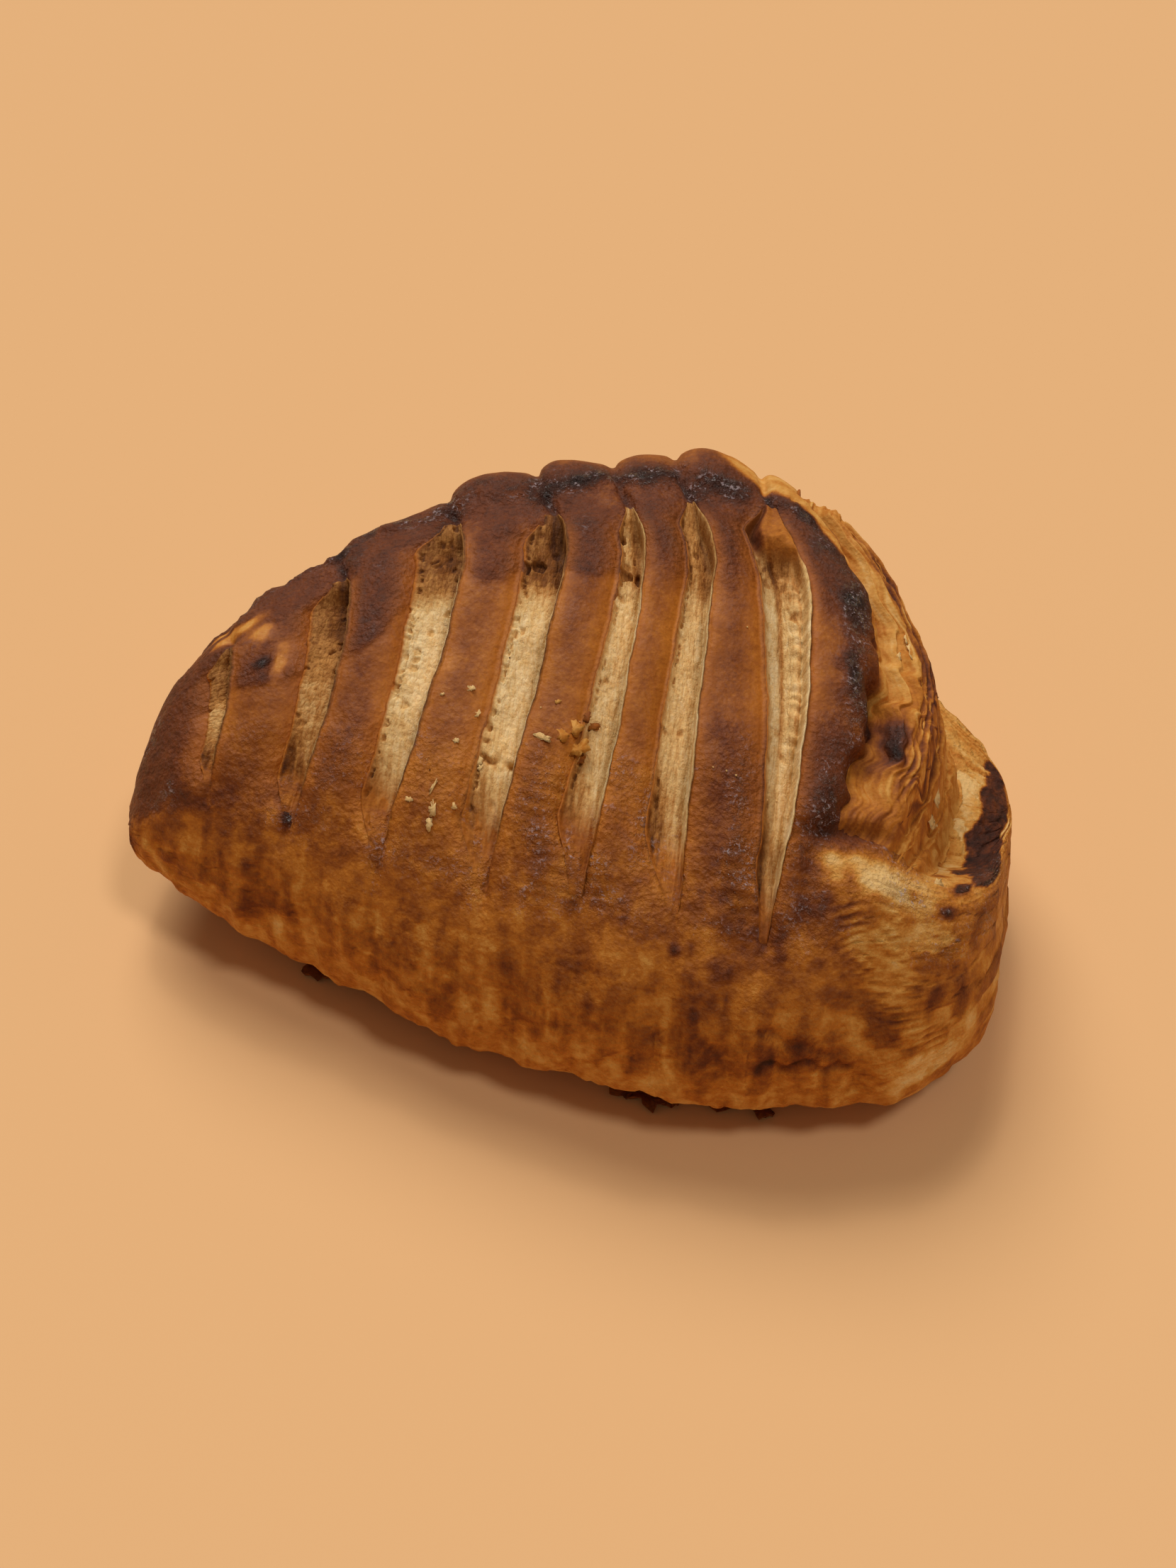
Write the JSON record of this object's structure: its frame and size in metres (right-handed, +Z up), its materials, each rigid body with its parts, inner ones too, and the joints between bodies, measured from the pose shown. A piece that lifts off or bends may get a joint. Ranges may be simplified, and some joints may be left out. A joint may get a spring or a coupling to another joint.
{
  "type": "apple turnover",
  "caption": "Baked puff pastry turnover, folded along one side, with glazed bands between open cuts across the top and a flaky pressed edge.",
  "frame": {"origin": "bottom centre of the bounding box, on the surface the turnover lies on", "axes": "+X along the folded side, from the pointed tip to the blunt end; +Y across the cuts' length, from the fold to the pressed edge; +Z up"},
  "size_m": [0.1384, 0.1092, 0.0594],
  "materials": {
    "crust": "satin"
  },
  "bodies": {
    "root": {"turnover": "crust"}
  },
  "joints": []
}
